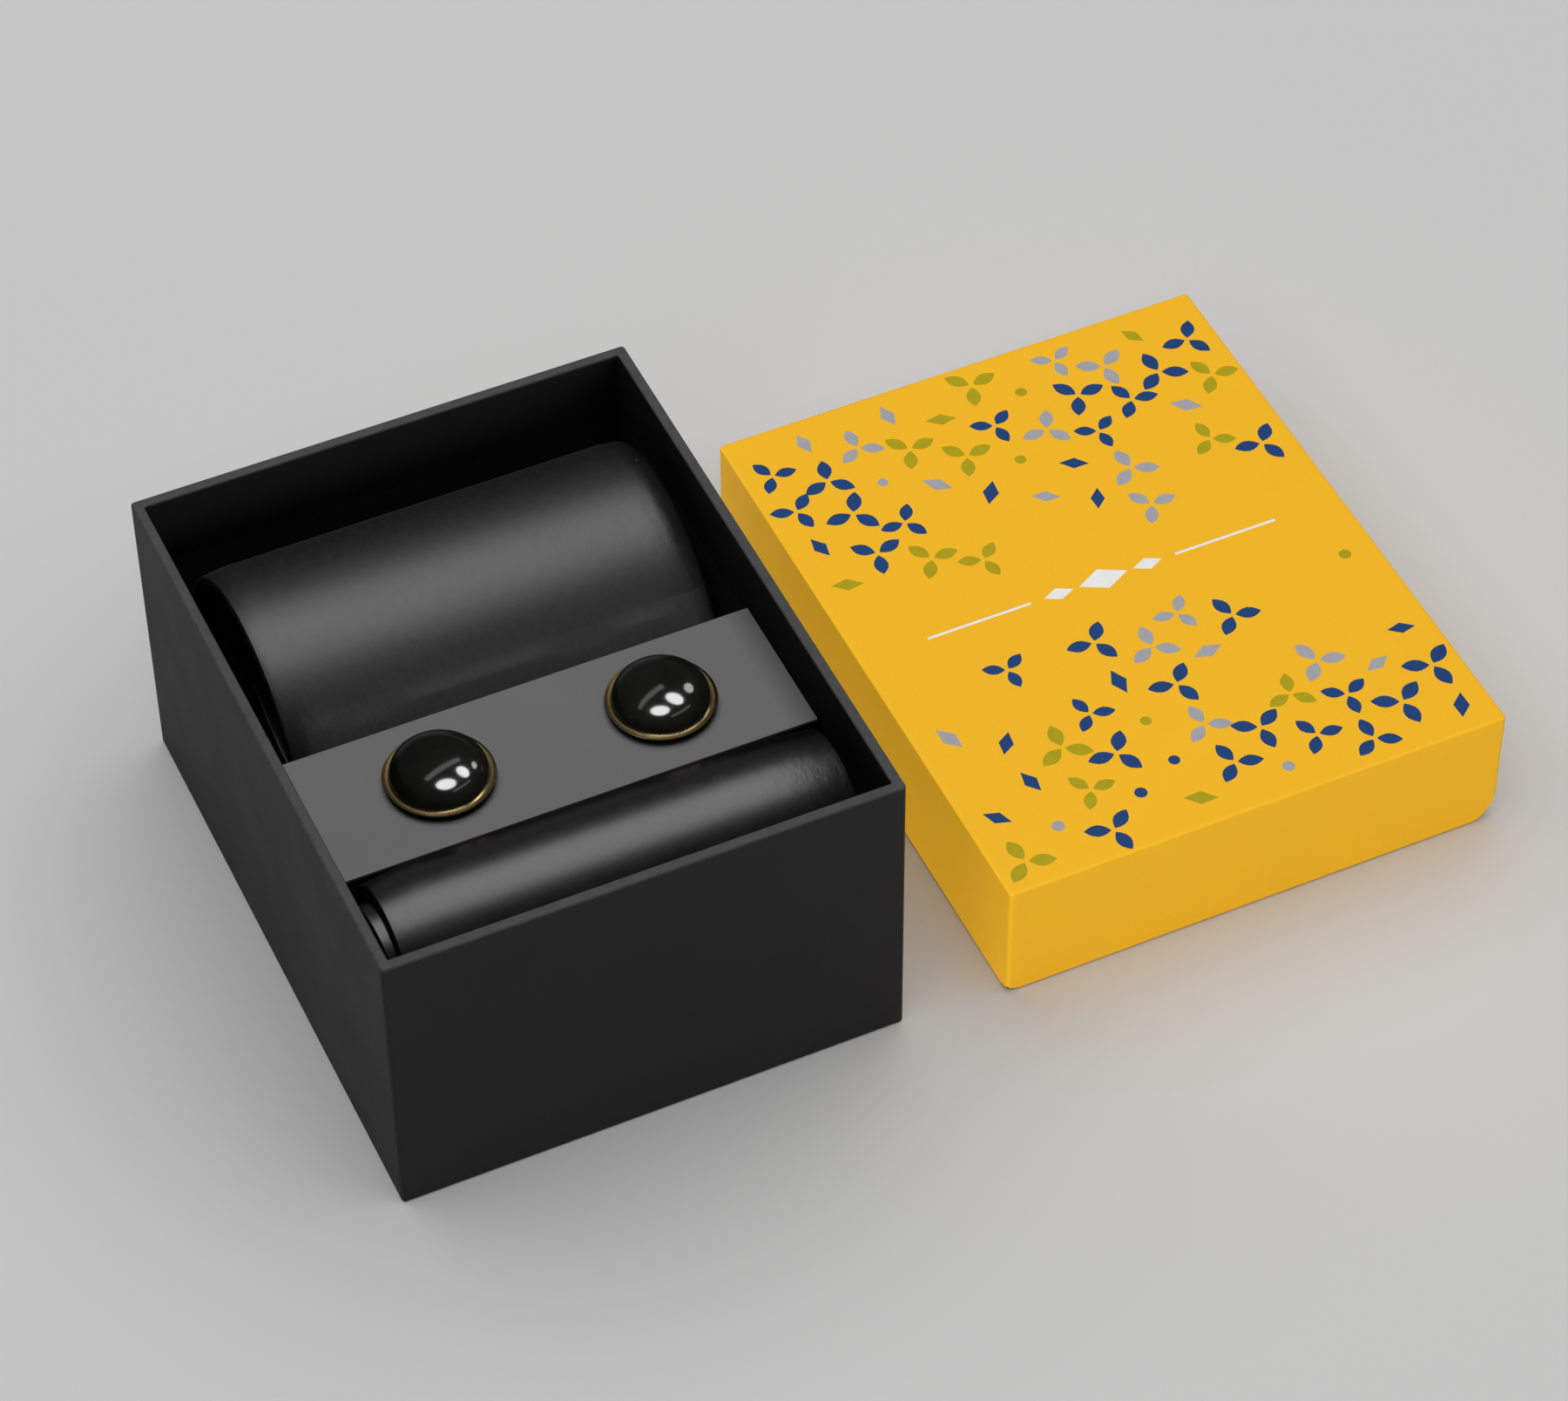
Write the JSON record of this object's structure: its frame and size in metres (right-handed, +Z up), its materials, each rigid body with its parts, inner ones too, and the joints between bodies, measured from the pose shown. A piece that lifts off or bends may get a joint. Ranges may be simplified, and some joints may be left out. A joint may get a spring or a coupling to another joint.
{
  "type": "cufflink display box",
  "caption": "Open paper-covered display tray: card bar with domed toggle-back cufflinks between a rolled necktie and a rolled pocket square, lift-off printed lid standing beside it",
  "frame": {"origin": "middle of the tray's underside, on the surface that the tray and the lid stand on", "axes": "+X to the right along the bar towards the lid, +Y from the pocket square at the front to the necktie at the back, +Z up"},
  "size_m": [0.2155, 0.124, 0.0625],
  "materials": {
    "greyboard": "matt uncoated",
    "stay_tape": "matt kraft",
    "black_paper": "matt, fine grain",
    "black_lining": "matt, fine grain",
    "yellow_paper": "silk-coated, printed",
    "grey_paper": "matt, smooth",
    "grey_card": "matt uncoated",
    "dark_metal": "dark nickel plating, polished",
    "gold": "gold plated, polished",
    "steel": "plated, polished",
    "black_stone": "high polish",
    "tie_silk": "satin weave",
    "square_cotton": "fine weave with a soft sheen"
  },
  "bodies": {
    "tray": {"tray_floor_board": "greyboard", "tray_side_boards": "greyboard", "tray_end_boards": "greyboard", "tray_corner_tapes": "stay_tape", "tray_wrap": "black_paper", "tray_wall_lining": "black_lining", "tray_floor_lining": "black_lining"},
    "lid": {"lid_top_board": "greyboard", "lid_side_boards": "greyboard", "lid_end_boards": "greyboard", "lid_corner_tapes": "stay_tape", "lid_wrap": "yellow_paper", "lid_wall_lining": "black_lining", "lid_top_lining": "black_lining"},
    "bar": {"bar_card": "grey_card", "bar_cover": "grey_paper"},
    "left_cufflink": {"left_cup": "dark_metal", "left_bezel": "gold", "left_stone": "black_stone", "left_post": "steel", "left_pin": "steel"},
    "left_toggle_bar": {"left_toggle": "dark_metal"},
    "right_cufflink": {"right_cup": "dark_metal", "right_bezel": "gold", "right_stone": "black_stone", "right_post": "steel", "right_pin": "steel"},
    "right_toggle_bar": {"right_toggle": "dark_metal"},
    "rolled_necktie": {"necktie": "tie_silk"},
    "rolled_pocket_square": {"pocket_square": "square_cotton"}
  },
  "joints": [
    {"name": "lid_lift", "type": "slide", "parent": "tray", "child": "lid", "axis": [0, 0, 1], "range_m": [0, 0.08]},
    {"name": "bar_lift", "type": "slide", "parent": "tray", "child": "bar", "axis": [0, 0, 1], "range_m": [0, 0.07]},
    {"name": "left_cufflink_lift", "type": "slide", "parent": "bar", "child": "left_cufflink", "axis": [0, 0, 1], "range_m": [0, 0.045]},
    {"name": "left_toggle_swing", "type": "hinge", "parent": "left_cufflink", "child": "left_toggle_bar", "pos_m": [-0.0195, -0.0142, 0.034], "axis": [0, 1, 0], "range_deg": [-90, 90]},
    {"name": "right_cufflink_lift", "type": "slide", "parent": "bar", "child": "right_cufflink", "axis": [0, 0, 1], "range_m": [0, 0.045]},
    {"name": "right_toggle_swing", "type": "hinge", "parent": "right_cufflink", "child": "right_toggle_bar", "pos_m": [0.0224, -0.0142, 0.034], "axis": [0, 1, 0], "range_deg": [-90, 90]},
    {"name": "necktie_lift", "type": "slide", "parent": "tray", "child": "rolled_necktie", "axis": [0, 0, 1], "range_m": [0, 0.07]},
    {"name": "pocket_square_lift", "type": "slide", "parent": "tray", "child": "rolled_pocket_square", "axis": [0, 0, 1], "range_m": [0, 0.07]}
  ]
}
